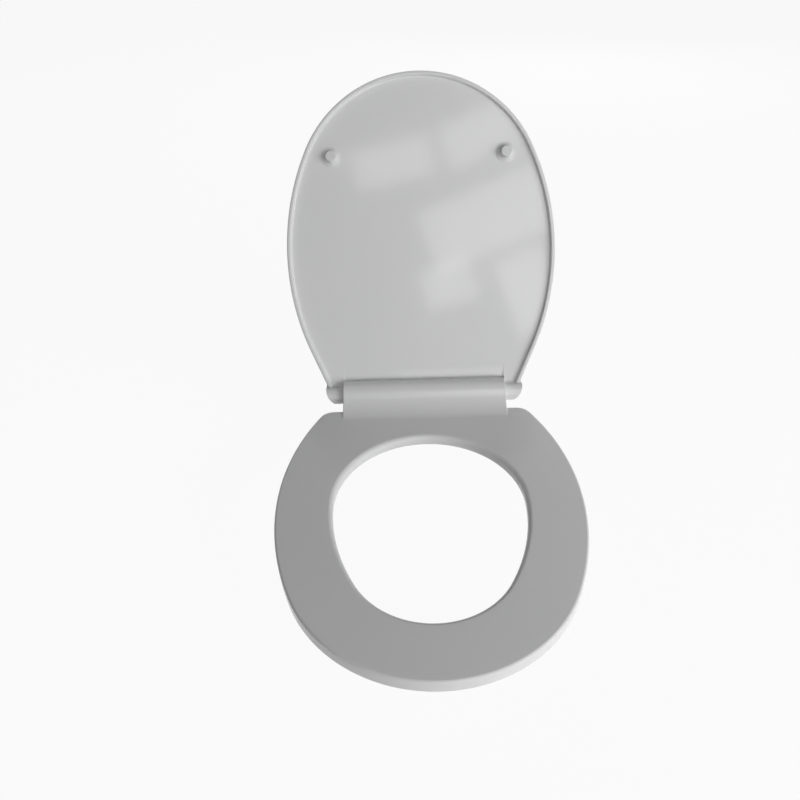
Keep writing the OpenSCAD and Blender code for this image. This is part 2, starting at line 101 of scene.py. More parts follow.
class Shade:
    """A material's or the world's node tree, and the one way nodes are added to it."""

    def __init__(self, owner):
        owner.use_nodes = True
        self.tree = owner.node_tree
        self.tree.nodes.clear()

    def node(self, kind, settings=None, sockets=None, output=0):
        made = self.tree.nodes.new(kind)
        for key, value in (settings or {}).items():
            setattr(made, key, value)
        for key, value in (sockets or {}).items():
            value = getattr(value, "socket", value)
            if isinstance(value, bpy.types.NodeSocket):
                self.tree.links.new(value, made.inputs[key])
            else:
                made.inputs[key].default_value = value
        return Value(self, made.outputs[output]) if made.outputs else None


def seen_plainly(shade):
    """1 for rays from the camera and those that a shiny surface or glass sends on, else 0."""
    rays = (shade.node("ShaderNodeLightPath", output=f"Is {kind} Ray")
            for kind in ("Camera", "Glossy", "Transmission"))
    return sum(rays).clamped()


room = bpy.data.worlds.new("white_room")
bpy.context.scene.world = room
air = Shade(room)
dome_strength, floor_glow, floor_size = 0.117, 0.93, 12
air_shades = air.node("ShaderNodeMixShader", sockets={
    0: seen_plainly(air),
    1: air.node("ShaderNodeBackground", sockets={"Color": (1, 1, 1, 1), "Strength": dome_strength}),
    2: air.node("ShaderNodeBackground", sockets={"Color": (1, 1, 1, 1), "Strength": 1.0}),
})
air.node("ShaderNodeOutputWorld", sockets={"Surface": air_shades})

bpy.ops.mesh.primitive_plane_add(size=floor_size, location=(0, 0, cad_box[0][2] - 0.001))
floor = bpy.context.object
floor.name = "floor"
floor_paint = bpy.data.materials.new("floor_white")
paint = Shade(floor_paint)
floor_shades = paint.node("ShaderNodeMixShader", sockets={
    0: seen_plainly(paint) * floor_glow,
    1: paint.node("ShaderNodeBsdfDiffuse", sockets={"Color": (0.9, 0.9, 0.9, 1)}),
    2: paint.node("ShaderNodeEmission", sockets={"Color": (1, 1, 1, 1), "Strength": 1.0}),
})
paint.node("ShaderNodeOutputMaterial", sockets={"Surface": floor_shades})
floor.data.materials.append(floor_paint)


# Lamps. A large soft box stands low at the front right, unmirrored, so that the closed lid
# doesn't mirror it as plain white. A weak one fills in from the front and one lights the back.
# The raised lid mirrors the leaning panes of a window above the camera.
def soft_box(name, place, target, size, power, tilt=0):
    bpy.ops.object.light_add(type="AREA", location=place)
    lamp = bpy.context.object
    lamp.name = name
    aim = (Vector(target) - Vector(place)).to_track_quat("-Z", "Y")
    lamp.rotation_euler = (aim @ Quaternion((0, 0, 1), math.radians(tilt))).to_euler()
    lamp.data.shape = "RECTANGLE"
    lamp.data.size, lamp.data.size_y = size
    lamp.data.energy = power
    return lamp


seat_middle, lid_middle = Vector((0, 0, 0.1)), Vector((0, 0.16, 0.22))
front_right = soft_box("lamp_front_right", (1.9, -1.5, 0.75), seat_middle, (2.0, 1.5), 38.8)
front_right.visible_glossy = False
soft_box("lamp_front_low", (0.6, -2.4, 0.5), seat_middle, (1.4, 0.8), 4.0)
soft_box("lamp_behind", (0.7, 2.6, 0.9), seat_middle, (1.3, 0.5), 12)

# What the lid mirrors lies this way from its middle. The panes hang there. Each has its place
# across and up, its width and its height, in metres.
pane_glow, pane_distance, pane_tilt = 2.5, 2.4, 13
mirrored = Vector((0.02, -0.76, 0.65)).normalized()
pane_up = mirrored.cross(Vector((1, 0, 0))).normalized()
panes = ((-0.12, 0.25, 0.37, 0.18), (0.27, 0.36, 0.34, 0.2), (0.32, -0.01, 0.62, 0.3),
         (0.13, -0.31, 0.25, 0.2), (0.52, -0.35, 0.24, 0.38))
for number, (pane_x, pane_y, wide, high) in enumerate(panes):
    place = lid_middle + pane_distance * mirrored + pane_x * Vector((1, 0, 0)) + pane_y * pane_up
    power = pane_glow * math.pi * wide * high
    soft_box(f"lamp_pane_{number}", place, lid_middle, (wide, high), power, pane_tilt)


# Seat ring. One thick moulding of white thermoset, pressed in a steel mould, with a rounded
# outer edge and a softer one round the opening. Its plan is an egg of arcs that touch each other.
# Sizes are in millimetres from here on, and places across, forwards and up from the hinge axis.
MM = 0.001
hinge = Vector(frame["joints"][0]["pos_m"]) / MM
ring_top, ring_bottom = -4.5, -21.5
ring_w, ring_l, ring_mid, flank_r = 370, 440, 200, 340
open_w, open_l, open_mid, open_flank_r = 232, 373, 205, 239
rear_r, ring_rear = 20, 30
ring_edge_r, open_edge_r, under_edge_r, under_open_r = 3, 6, 1.5, 7

# How deep a section is drawn, how close counts as the same place, and how close is merged.
band, near, weld = 12, 0.01, 0.001


def egg(width, length, middle, side_r):
    """The front arc's radius, its centre's distance and its half angle, and where across the
    centre of a flank's arc lies."""
    reach, flank_x = length - middle, width / 2 - side_r
    front_r = (side_r ** 2 - reach ** 2 - flank_x ** 2) / (2 * (side_r - reach))
    return front_r, length - front_r, math.degrees(math.atan2(-flank_x, reach - front_r)), flank_x


def alone(*pieces):
    """Leaves edit mode and selects only these pieces, with the first one active."""
    if bpy.context.mode != "OBJECT":
        bpy.ops.object.mode_set(mode="OBJECT")
    bpy.ops.object.select_all(action="DESELECT")
    for piece in pieces:
        piece.select_set(True)
    if pieces:
        bpy.context.view_layer.objects.active = pieces[0]


def edit(piece):
    """Opens a piece in edit mode with all of its vertices selected."""
    alone(piece)
    bpy.ops.object.mode_set(mode="EDIT")
    bpy.ops.mesh.select_mode(type="VERT")
    bpy.ops.mesh.select_all(action="SELECT")


def start(name, primitive, place, **sizes):
    """A primitive at a place across, forwards and up from the hinge axis, opened in edit mode."""
    alone()
    across, forwards, up = place
    primitive(location=(across * MM, (hinge.y - forwards) * MM, (hinge.z + up) * MM), **sizes)
    piece = bpy.context.object
    piece.name = name
    bpy.ops.object.transform_apply()
    edit(piece)
    return piece


def select(kind, test):
    """Selects the vertices, edges or faces in edit mode that pass a test. The test is given
    the place of each one's middle, and the element itself."""
    bpy.ops.mesh.select_mode(type=kind)
    bpy.ops.mesh.select_all(action="DESELECT")
    mesh = bpy.context.object.data
    shape = bmesh.from_edit_mesh(mesh)
    for part in {"VERT": shape.verts, "EDGE": shape.edges, "FACE": shape.faces}[kind]:
        corners = [part] if kind == "VERT" else list(part.verts)
        middle = sum((c.co for c in corners), Vector()) / len(corners) / MM - hinge
        if test(Vector((middle.x, -middle.y, middle.z)), part):
            part.select_set(True)
    bmesh.update_edit_mesh(mesh)


def extrude(across, forwards, up):
    bpy.ops.mesh.extrude_region_move(
        TRANSFORM_OT_translate={"value": (across * MM, -forwards * MM, up * MM)})


def line(name, place, *moves):
    """A line of edges: a plane drawn together to one point, then extruded from corner to corner."""
    piece = start(name, bpy.ops.mesh.primitive_plane_add, place, size=MM)
    bpy.ops.mesh.merge(type="CENTER")
    for move in moves:
        extrude(*move)
    return piece


def round_corner(forwards, up, radius, steps=8):
    """Rounds the corner of a section at that place."""
    select("VERT", lambda at, _: abs(at.y - forwards) < near and abs(at.z - up) < near)
    bpy.ops.mesh.bevel(offset=radius * MM, segments=steps, affect="VERTICES", profile=0.5)


def turn(across, forwards, angle, steps):
    """Spins what is selected round a point of the plan, from the front towards the right."""
    centre = (across * MM, (hinge.y - forwards) * MM, 0)
    bpy.ops.mesh.spin(steps=steps, angle=-math.radians(angle), center=centre, axis=(0, 0, 1))


def to_midline():
    """Extrudes what is selected straight to the midline."""
    extrude(0, 0, 0)
    bpy.ops.transform.resize(value=(0, 1, 1), center_override=(0, 0, 0))


def modify(piece, kind, **settings):
    """Adds a modifier to a piece and applies it."""
    alone(piece)
    modifier = piece.modifiers.new(kind.lower(), kind)
    for key, value in settings.items():
        setattr(modifier, key, value)
    bpy.ops.object.modifier_apply(modifier=modifier.name)


def cut(piece, tool, operation="DIFFERENCE"):
    """Cuts a piece with a tool, or adds the tool to it, and removes the tool."""
    modify(piece, "BOOLEAN", object=tool, operation=operation, solver="EXACT")
    bpy.data.objects.remove(tool)


def close(piece):
    """Merges what lies at one place and turns every face outwards."""
    edit(piece)
    bpy.ops.mesh.remove_doubles(threshold=weld * MM)
    bpy.ops.mesh.normals_make_consistent(inside=False)
    alone(piece)


def both_sides(piece):
    modify(piece, "MIRROR", merge_threshold=2 * weld * MM)
    close(piece)


def smooth(piece, angle=32):
    """Smooth shading across gentle edges, weighted so that flat faces stay flat."""
    alone(piece)
    bpy.ops.object.shade_smooth_by_angle(angle=math.radians(angle), keep_sharp_edges=False)
    modify(piece, "WEIGHTED_NORMAL", weight=80, keep_sharp=True)


tip_r, tip_d, tip_angle, flank_x = egg(ring_w, ring_l, ring_mid, flank_r)
rear_d = ring_rear + rear_r
rear_x = math.sqrt((flank_r - rear_r) ** 2 - (ring_mid - rear_d) ** 2) + flank_x
rear_angle = math.degrees(math.atan2(ring_mid - rear_d, rear_x - flank_x))
tall = ring_top - ring_bottom

ring = line("ring", (0, ring_l - band, ring_top),
            (0, band, 0), (0, 0, -tall), (0, -band, 0))
round_corner(ring_l, ring_top, ring_edge_r)
round_corner(ring_l, ring_bottom, under_edge_r, steps=4)
bpy.ops.mesh.select_all(action="SELECT")
turn(0, tip_d, tip_angle, 40)
turn(flank_x, ring_mid, 90 - tip_angle + rear_angle, 40)
turn(rear_x, rear_d, 90 - rear_angle, 27)
to_midline()

open_r, open_d, open_angle, open_x = egg(open_w, open_l, open_mid, open_flank_r)
opening = line("opening", (0, open_l + band, ring_top),
               (0, -band, 0), (0, 0, -tall), (0, band, 0))
round_corner(open_l, ring_top, open_edge_r, steps=10)
round_corner(open_l, ring_bottom, under_open_r)
bpy.ops.mesh.select_all(action="SELECT")
turn(0, open_d, open_angle, 40)
turn(open_x, open_mid, 90 - open_angle, 40)
turn(0, open_mid, 90, 28)

alone(ring, opening)
bpy.ops.object.join()
edit(ring)
for height in (ring_top, ring_bottom):
    select("EDGE", lambda at, edge: abs(at.z - height) < near and edge.is_boundary
           and abs(at.x) > 10 * near)
    bpy.ops.mesh.bridge_edge_loops()
both_sides(ring)


# Knuckle. The thick roll across the rear of the ring is moulded in one with it. Its front sweeps
# down into the deck, its ends are square with a small radius, and below it is cored out, with a
# pocket at each side for a hinge post and a bore in each end wall.
knuckle_r, knuckle_x, knuckle_edge_r, knuckle_end, sweep_l = 20, 114, 1.2, 60, 52
end_wall_x, cavity_x, cavity_r, cavity_front = 102.5, 51, 13, 17
core_x, core_r, rib_t, bore_r, overrun = 46, 15, 3.5, 6.55, 1
sweep_r = (sweep_l ** 2 + ring_top ** 2 - knuckle_r ** 2) / (2 * (knuckle_r - ring_top))
sweep_up = ring_top + sweep_r
sweep_angle = math.degrees(math.atan2(sweep_up, sweep_l))


def roll(forwards, up, angle, steps):
    """Spins what is selected round a line across the seat, from the front over the top."""
    centre = (0, (hinge.y - forwards) * MM, (hinge.z + up) * MM)
    bpy.ops.mesh.spin(steps=steps, angle=math.radians(angle), center=centre, axis=(1, 0, 0))


def thicken(piece, *move):
    """Closes the outline in edit mode, fills it and extrudes it by that move."""
    bpy.ops.mesh.select_all(action="SELECT")
    bpy.ops.mesh.remove_doubles(threshold=weld * MM)
    bpy.ops.mesh.edge_face_add()
    extrude(*move)
    close(piece)
    return piece


def prism(name, x0, x1, *corners):
    """A block across the seat whose section has these corners, forwards and up."""
    steps = [(0, b[0] - a[0], b[1] - a[1]) for a, b in zip(corners, corners[1:] + corners[:1])]
    return thicken(line(name, (x0, *corners[0]), *steps), x1 - x0, 0, 0)


def rod(name, radius, x0, x1):
    """A round bar along the hinge axis."""
    piece = start(name, bpy.ops.mesh.primitive_cylinder_add, ((x0 + x1) / 2, 0, 0), vertices=96,
                  radius=radius * MM, depth=(x1 - x0) * MM, rotation=(0, math.pi / 2, 0))
    alone(piece)
    return piece


knuckle = line("knuckle", (-knuckle_x, sweep_l, ring_top))
roll(sweep_l, sweep_up, sweep_angle - 90, 20)
roll(0, 0, 360 - sweep_angle - knuckle_end, 96)
extrude(0, cavity_front - knuckle_r * math.cos(math.radians(knuckle_end)),
        ring_bottom + knuckle_r * math.sin(math.radians(knuckle_end)))
extrude(0, sweep_l - cavity_front, 0)
extrude(0, 0, tall)
thicken(knuckle, 2 * knuckle_x, 0, 0)
edit(knuckle)
select("EDGE", lambda at, _: abs(abs(at.x) - knuckle_x) < near)
bpy.ops.mesh.bevel(offset=knuckle_edge_r * MM, segments=4, profile=0.5)
cut(ring, knuckle, "UNION")

# Each pocket leaves room for the post's neck, with the ring down and with it lifted.
lift, neck_angle, neck_room, pocket_top, reach = 100, 68.2, 6.5, -5, 60
corners = [(0, pocket_top), (cavity_front, pocket_top), (cavity_front, -reach)]
corners += [(reach * math.cos(math.radians(a)), -reach * math.sin(math.radians(a)))
            for a in (neck_angle + 30, neck_angle + 60, neck_angle + 90)]
lifted = math.radians(neck_angle + lift)
corners += [(reach * math.cos(lifted) - neck_room * math.sin(lifted),
             -reach * math.sin(lifted) - neck_room * math.cos(lifted)),
            (-neck_room * math.sin(lifted), -neck_room * math.cos(lifted))]
for side in (1, -1):
    cut(ring, prism("neck_room", side * cavity_x, side * end_wall_x, *corners))
    cut(ring, rod("barrel_room", cavity_r, *sorted((side * cavity_x, side * end_wall_x))))
    bore_ends = sorted((side * (end_wall_x - overrun), side * (knuckle_x + overrun)))
    cut(ring, rod("bore", bore_r, *bore_ends))
    for x0, x1 in ((rib_t / 2, core_x / 2 - rib_t / 2), (core_x / 2 + rib_t / 2, core_x)):
        core = line("core", (side * x0, core_r, -2 * core_r), (0, 0, 2 * core_r))
        roll(0, 0, 180, 40)
        extrude(0, 0, -2 * core_r)
        extrude(0, 2 * core_r, 0)
        cut(ring, thicken(core, side * (x1 - x0), 0, 0))
smooth(ring)


def principled(shade, sockets):
    """Ends a material in one Principled surface with these sockets."""
    surface = shade.node("ShaderNodeBsdfPrincipled", sockets=sockets)
    shade.node("ShaderNodeOutputMaterial", sockets={"Surface": surface})


def pattern(shade, scale, detail=2.0, roughness=0.5):
    """Soft noise fixed to the piece, about 0 to 1, with that many waves in a metre."""
    place = shade.node("ShaderNodeTexCoord", output="Object")
    return shade.node("ShaderNodeTexNoise", {"noise_dimensions": "3D"},
                      {"Vector": place, "Scale": scale, "Detail": detail, "Roughness": roughness})


def tinted(shade, factor, low, high):
    """A colour between two, by a factor."""
    return shade.node("ShaderNodeMix", {"data_type": "RGBA"},
                      {0: factor, 6: (*low, 1), 7: (*high, 1)}, output=2)


def bumped(shade, height, depth):
    """A normal disturbed by a height of 0 to 1, that many millimetres deep."""
    return shade.node("ShaderNodeBump", sockets={
        "Height": height, "Strength": 1.0, "Distance": depth * MM})


def moulded(name, low, high, gloss, swirl, skin):
    """Moulded plastic: a faint swirl in its colour and gloss, and a skin that isn't quite flat."""
    material = bpy.data.materials.new(name)
    shade = Shade(material)
    cloud = pattern(shade, swirl, detail=3.0)
    ripple = pattern(shade, skin, detail=1.0)
    principled(shade, {
        "Base Color": tinted(shade, cloud, low, high),
        "Roughness": cloud * (gloss[1] - gloss[0]) + gloss[0],
        "Normal": bumped(shade, ripple, depth=0.012)})
    return material


def finish(piece, material, body, slot, *nodes):
    """Gives a piece its material and its body, and hides the CAD nodes it stands for. The slot is
    not used.
    """
    piece.data.materials.clear()
    piece.data.materials.append(material)
    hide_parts(*nodes)
    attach(piece, body)


def thermoset(name, gloss):
    """White duroplast, pressed hot, as glossy as glaze."""
    return moulded(name, (0.775, 0.78, 0.785), (0.81, 0.81, 0.805), gloss, 9.0, 130.0)


finish(ring, thermoset("thermoset_ring", (0.13, 0.2)), "seat", "china_white", "seat_ring")


# Lid. A thinner moulding of the same thermoset that overhangs the ring a little. A lip runs
# round its edge underneath, its rear is cut out round the knuckle, and two ears reach back to
# the hinge. It is drawn closed and then turned open.
lid_under, lid_top, lip_bottom = 5, 11, -0.5
lid_over, lip_w, lip_fillet_r, lid_edge_r = 2.5, 5.5, 1.5, 4
side_angle, side_end, rim_end = 23.7, 8, -8
ear_x, ear_l, ear_r, ear_end_r, ear_fillet_r, ear_bore_l = 115, 24, 12, 30, 5, 14.3
notch_r, step_l, step_up, relief_l, relief_h = 21, 21.9, 10.3, 43, 2.1
lid_open = 122


def slice_off(place, beyond):
    """Cuts off what lies beyond a plane through that place, and fills the cut."""
    across, forwards, up = place
    bpy.ops.mesh.select_all(action="SELECT")
    bpy.ops.mesh.bisect(plane_co=(across * MM, (hinge.y - forwards) * MM, (hinge.z + up) * MM),
                        plane_no=beyond, threshold=weld * MM, use_fill=True, clear_outer=True)


lid_l = ring_l + lid_over
lid = line("lid_shell", (0, lid_l - band, lid_under),
           (0, band - lip_w, 0), (0, 0, lip_bottom - lid_under), (0, lip_w, 0),
           (0, 0, lid_top - lip_bottom), (0, -band, 0))
round_corner(lid_l - lip_w, lid_under, lip_fillet_r, steps=6)
round_corner(lid_l - lip_w, lip_bottom, lip_w / 3, steps=5)
round_corner(lid_l, lip_bottom, lip_w / 3, steps=5)
round_corner(lid_l, lid_top, lid_edge_r)
bpy.ops.mesh.select_all(action="SELECT")
turn(0, tip_d, tip_angle, 44)
turn(flank_x, ring_mid, 90 - tip_angle + side_angle, 40)
lean = math.radians(side_angle)
side_l = (ring_mid - (flank_r + lid_over) * math.sin(lean) - rim_end) / math.cos(lean)
extrude(-side_l * math.sin(lean), -side_l * math.cos(lean), 0)
to_midline()
both_sides(lid)
edit(lid)
for height in (lid_under, lid_top):
    select("EDGE", lambda at, edge: abs(at.z - height) < near and edge.is_boundary)
    bpy.ops.mesh.edge_face_add()
slice_off((0, side_end, 0), (0, 1, 0))
close(lid)

hollow = ear_r + ear_fillet_r
fillet = [(hollow - ear_fillet_r * math.sin(a), lid_under - ear_fillet_r * (1 - math.cos(a)))
          for a in (math.radians(10 * step) for step in range(10))]
fillet_top = lid_top - 3
fillet += [(ear_r / 2, 0), (ear_r / 2, fillet_top), (hollow, fillet_top)]
for side in (1, -1):
    inner, outer = side * ear_x, side * (ear_x + ear_l)
    ear = rod("ear", ear_r, *sorted((inner, outer + side * overrun)))
    ear_plate = prism("ear_plate", inner, outer, (ear_r / 4, lid_under), (ear_r / 4, lid_top),
                      (notch_r, lid_top), (notch_r, lid_under))
    cut(ear, ear_plate, "UNION")
    cut(ear, prism("ear_fillet", inner, outer, *fillet), "UNION")
    end = start("ear_end", bpy.ops.mesh.primitive_cylinder_add,
                (side * (ear_x + ear_l - ear_end_r), ear_r, 0),
                vertices=160, radius=ear_end_r * MM, depth=4 * ear_r * MM)
    alone(end)
    cut(ear, end, "INTERSECT")
    cut(lid, ear, "UNION")
cut(lid, rod("notch", notch_r, -ear_x, ear_x))
cut(lid, prism("notch_step", -ear_x, ear_x,
               (0, step_up), (step_l, step_up), (step_l, -ear_r), (0, -ear_r)))
relief_r = ((relief_l - notch_r) ** 2 + relief_h ** 2) / (2 * relief_h)
relief_angle, relief_drop = 20, 8
relief = line("relief", (-knuckle_x, relief_l, lid_under))
roll(relief_l, lid_under + relief_r, -relief_angle, 16)
extrude(0, 0, -relief_drop)
extrude(0, relief_r * math.sin(math.radians(relief_angle)), 0)
extrude(0, 0, relief_drop - relief_r * (1 - math.cos(math.radians(relief_angle))))
cut(lid, thicken(relief, 2 * knuckle_x, 0, 0))
for side in (1, -1):
    bore_ends = sorted((side * (ear_x - overrun), side * (ear_x + ear_bore_l)))
    cut(lid, rod("ear_bore", bore_r, *bore_ends))


def open_with_lid(piece):
    """Turns a piece drawn on the closed lid to where the lid rests when it is open."""
    edit(piece)
    bpy.ops.transform.rotate(value=math.radians(lid_open), orient_axis="X",
                             center_override=(0, hinge.y * MM, hinge.z * MM))
    alone(piece)


open_with_lid(lid)
smooth(lid)
finish(lid, thermoset("thermoset_lid", (0.07, 0.11)), "lid", "china_white", "lid")


# Lid buffers. Two soft white plugs with a flared foot are pressed into the lid's underside and
# keep it off the ring. Their flat tops have a small radius.
buffer_r, buffer_top_r, buffer_h, buffer_edge_r = 13.5, 7.5, 9.2, 1.2
rim_t, rim_edge_r = 0.8, 0.3
buffer_in, buffer_angle = 36.5, math.radians(63)
buffer_d = tip_d + (tip_r + lid_over - buffer_in) * math.cos(buffer_angle)
buffer_x = (tip_r + lid_over - buffer_in) * math.sin(buffer_angle)
soft_white = moulded("buffer_white", (0.72, 0.725, 0.73), (0.77, 0.77, 0.765),
                     (0.34, 0.46), 60.0, 900.0)


def lathe(piece, across, forwards, steps=56):
    """Spins the outline in edit mode once round an upright line and closes the shape."""
    bpy.ops.mesh.select_all(action="SELECT")
    turn(across, forwards, 360, steps)
    close(piece)


flare = buffer_r - buffer_top_r
buffer_tip, rim_low = lid_under - buffer_h, lid_under - rim_t
for side, name in ((1, "right"), (-1, "left")):
    x = side * buffer_x
    pip = line("lid_pip_" + name, (x, buffer_d, buffer_tip),
               (buffer_top_r, 0, 0), (0, 0, rim_low - flare - buffer_tip))
    centre = ((x + buffer_r) * MM, (hinge.y - buffer_d) * MM, (hinge.z + rim_low - flare) * MM)
    bpy.ops.mesh.spin(steps=10, angle=-math.radians(90), center=centre, axis=(0, 1, 0))
    extrude(0, 0, rim_t)
    extrude(-buffer_r, 0, 0)
    select("VERT", lambda at, _: abs(at.x - x - buffer_top_r) < near
           and abs(at.z - buffer_tip) < near)
    bpy.ops.mesh.bevel(offset=buffer_edge_r * MM, segments=5, affect="VERTICES", profile=0.5)
    select("VERT", lambda at, _: abs(at.x - x - buffer_r) < near)
    bpy.ops.mesh.bevel(offset=rim_edge_r * MM, segments=2, affect="VERTICES", profile=0.5)
    lathe(pip, x, buffer_d)
    open_with_lid(pip)
    smooth(pip)
    finish(pip, soft_white, "lid", "buffer_white", "lid_buffer_" + name)


# Ring buffers. Four soft white pads are pressed into holes under the ring and stand on the china.
# They are long pills in plan, with their feet rounded off.
pad_h, pad_l, pad_w, pad_in, pad_foot_r = 9, 30, 14, 33, 1.5


def same(piece, name, across=0):
    """Another piece of the same shape, with its own mesh, that far across."""
    twin = piece.copy()
    twin.data = piece.data.copy()
    twin.data.transform(Matrix.Translation((across * MM, 0, 0)))
    twin.name = name
    bpy.context.scene.collection.objects.link(twin)
    return twin


def other_side(piece, name):
    """The mirror image of a piece, on the other side of the seat."""
    twin = same(piece, name)
    twin.data.transform(Matrix.Scale(-1, 4, (1, 0, 0)))
    close(twin)
    return twin


def round_edges(radius, test, steps=4):
    """Rounds the edges in edit mode whose middle passes the test."""
    select("EDGE", lambda at, _: test(at))
    bpy.ops.mesh.bevel(offset=radius * MM, segments=steps, profile=0.5)


for end, angle, arc_r, arc_x, arc_d in (("front", 50, tip_r, 0, tip_d),
                                        ("rear", 110, flank_r, flank_x, ring_mid)):
    angle = math.radians(angle)
    x = arc_x + (arc_r - pad_in) * math.sin(angle)
    forwards = arc_d + (arc_r - pad_in) * math.cos(angle)
    pad = start("pad_" + end + "_right", bpy.ops.mesh.primitive_cylinder_add,
                (x, forwards, ring_bottom - pad_h / 2),
                vertices=64, radius=pad_w / 2 * MM, depth=pad_h * MM)
    for way in (1, -1):
        select("VERT", lambda at, _: way * (at.y - forwards) > near)
        bpy.ops.transform.translate(value=(0, -way * (pad_l - pad_w) / 2 * MM, 0))
    round_edges(pad_foot_r, lambda at: abs(at.z - ring_bottom + pad_h) < near, 5)
    bpy.ops.mesh.select_all(action="SELECT")
    bpy.ops.transform.rotate(value=math.radians(90) - angle, orient_axis="Z",
                             center_override=(x * MM, (hinge.y - forwards) * MM, 0))
    close(pad)
    for piece, side in ((pad, "right"), (other_side(pad, "pad_" + end + "_left"), "left")):
        smooth(piece)
        finish(piece, soft_white, "seat", "buffer_white", f"seat_buffer_{end}_{side}")


# Hinge posts. Each is one chromed zinc casting: a barrel that holds the damper, a neck that
# leans over the stud, and a round foot that clamps the cover plate.
stud_x, stud_d, china = 77.5, hinge.y, -hinge.z
gasket_t, cover_t, foot_t, boss_h = 1.5, 3, 3.5, 6
barrel_x, barrel_l, barrel_r, barrel_edge_r = 100.5, 49, 12.5, 0.8
damper_room_l, damper_room_r = 45.3, 9.05
neck_w, neck_t, neck_r, foot_r, boss_r = 24, 12, 3, 15, 7.5
foot = china + gasket_t + cover_t
foot_top = foot + foot_t


def puck(name, radius, low, high, rounding):
    """A round bar standing at the right-hand stud, with its upper edge rounded."""
    piece = start(name, bpy.ops.mesh.primitive_cylinder_add, (stud_x, stud_d, (low + high) / 2),
                  vertices=96, radius=radius * MM, depth=(high - low) * MM)
    round_edges(rounding, lambda at: abs(at.z - high) < near)
    alone(piece)
    return piece


def metal(name, colour, gloss, smear):
    """Bare metal whose gloss varies a little, as plating and handling leave it."""
    material = bpy.data.materials.new(name)
    shade = Shade(material)
    film = pattern(shade, smear, detail=4.0, roughness=0.6)
    principled(shade, {
        "Base Color": tinted(shade, film, [0.93 * c for c in colour], colour),
        "Metallic": 1.0,
        "Roughness": film * (gloss[1] - gloss[0]) + gloss[0],
        "Normal": bumped(shade, pattern(shade, 8 * smear), depth=0.006)})
    return material


neck_lean = math.atan2(-foot_top, stud_d)
half_neck, neck_end = neck_t / 2 / math.sin(neck_lean), foot_top - foot_t / 2
neck_ahead = -neck_end / math.tan(neck_lean)
post = rod("post_right", barrel_r, barrel_x - barrel_l, barrel_x)
edit(post)
round_edges(barrel_edge_r,
            lambda at: abs(abs(at.x - barrel_x + barrel_l / 2) - barrel_l / 2) < near)
neck = prism("neck", stud_x - neck_w / 2, stud_x + neck_w / 2, (half_neck, 0), (-half_neck, 0),
             (neck_ahead - half_neck, neck_end), (neck_ahead + half_neck, neck_end))
edit(neck)
round_edges(neck_r, lambda at: abs(at.z - neck_end / 2) < near, 6)
cut(post, neck, "UNION")
cut(post, puck("foot", foot_r, foot, foot_top, rounding=1.2), "UNION")
cut(post, puck("boss", boss_r, foot, foot_top + boss_h, rounding=0.8), "UNION")
cut(post, rod("damper_room", damper_room_r, barrel_x - damper_room_l, barrel_x + overrun))
chrome = metal("chrome", (0.83, 0.84, 0.85), (0.05, 0.12), 22.0)
for piece, side in ((post, "right"), (other_side(post, "post_left"), "left")):
    smooth(piece)
    finish(piece, chrome, "root", "chrome", "hinge_post_" + side)


# Base covers. A round chromed plate hides each hole in the china. Its upper edge is rounded, and
# the foot of the post clamps it down on the gasket.
cover_r, stud_hole_r = 21, 4.3


def washer(name, bore_r, *outline):
    """Section of a ring round the right-hand stud. The outline's corners give radius and height."""
    corners = [(bore_r, outline[0][1]), *outline, (bore_r, outline[-1][1])]
    steps = [(b[0] - a[0], 0, b[1] - a[1]) for a, b in zip(corners, corners[1:] + corners[:1])]
    return line(name, (stud_x + corners[0][0], stud_d, corners[0][1]), *steps)


def round_rim(radius, up, rounding, steps=4):
    """Rounds the corner of a washer's section at that radius and height."""
    select("VERT", lambda at, _: abs(at.x - stud_x - radius) < near and abs(at.z - up) < near)
    bpy.ops.mesh.bevel(offset=rounding * MM, segments=steps, affect="VERTICES", profile=0.5)


def pair(piece, name, material, slot, node):
    """Finishes the piece at the right-hand stud, and the same piece again at the left-hand one."""
    for made, side in ((piece, "right"), (same(piece, name + "_left", -2 * stud_x), "left")):
        smooth(made)
        finish(made, material, "root", slot, f"{node}_{side}")


cover_low = china + gasket_t
cover = washer("cover_right", stud_hole_r, (cover_r, cover_low), (cover_r, foot))
round_rim(cover_r, foot, rounding=1.4, steps=7)
round_rim(cover_r, cover_low, rounding=0.4, steps=2)
lathe(cover, stud_x, stud_d, steps=96)
pair(cover, "cover", chrome, "chrome", "base_cover")


# Base gaskets. A ring of soft black rubber under each cover plate keeps the metal off the china.
# It is cut from sheet, a little smaller than the plate, and clamped under it.
def rubbery(name, low, high, grain):
    """Matt rubber with a fine grain and a dusty bloom."""
    material = bpy.data.materials.new(name)
    shade = Shade(material)
    bloom = pattern(shade, 45.0, detail=3.0)
    principled(shade, {
        "Base Color": tinted(shade, bloom, low, high),
        "Roughness": bloom * 0.16 + 0.66,
        "Normal": bumped(shade, pattern(shade, grain), depth=0.05)})
    return material


gasket_r = cover_r - 1.5
gasket = washer("gasket_right", stud_hole_r, (gasket_r, china), (gasket_r, cover_low))
round_rim(gasket_r, cover_low, rounding=0.3, steps=2)
lathe(gasket, stud_x, stud_d, steps=80)
rubber = rubbery("black_rubber", (0.045, 0.045, 0.047), (0.075, 0.075, 0.078), 1400.0)
pair(gasket, "gasket", rubber, "rubber", "base_gasket")


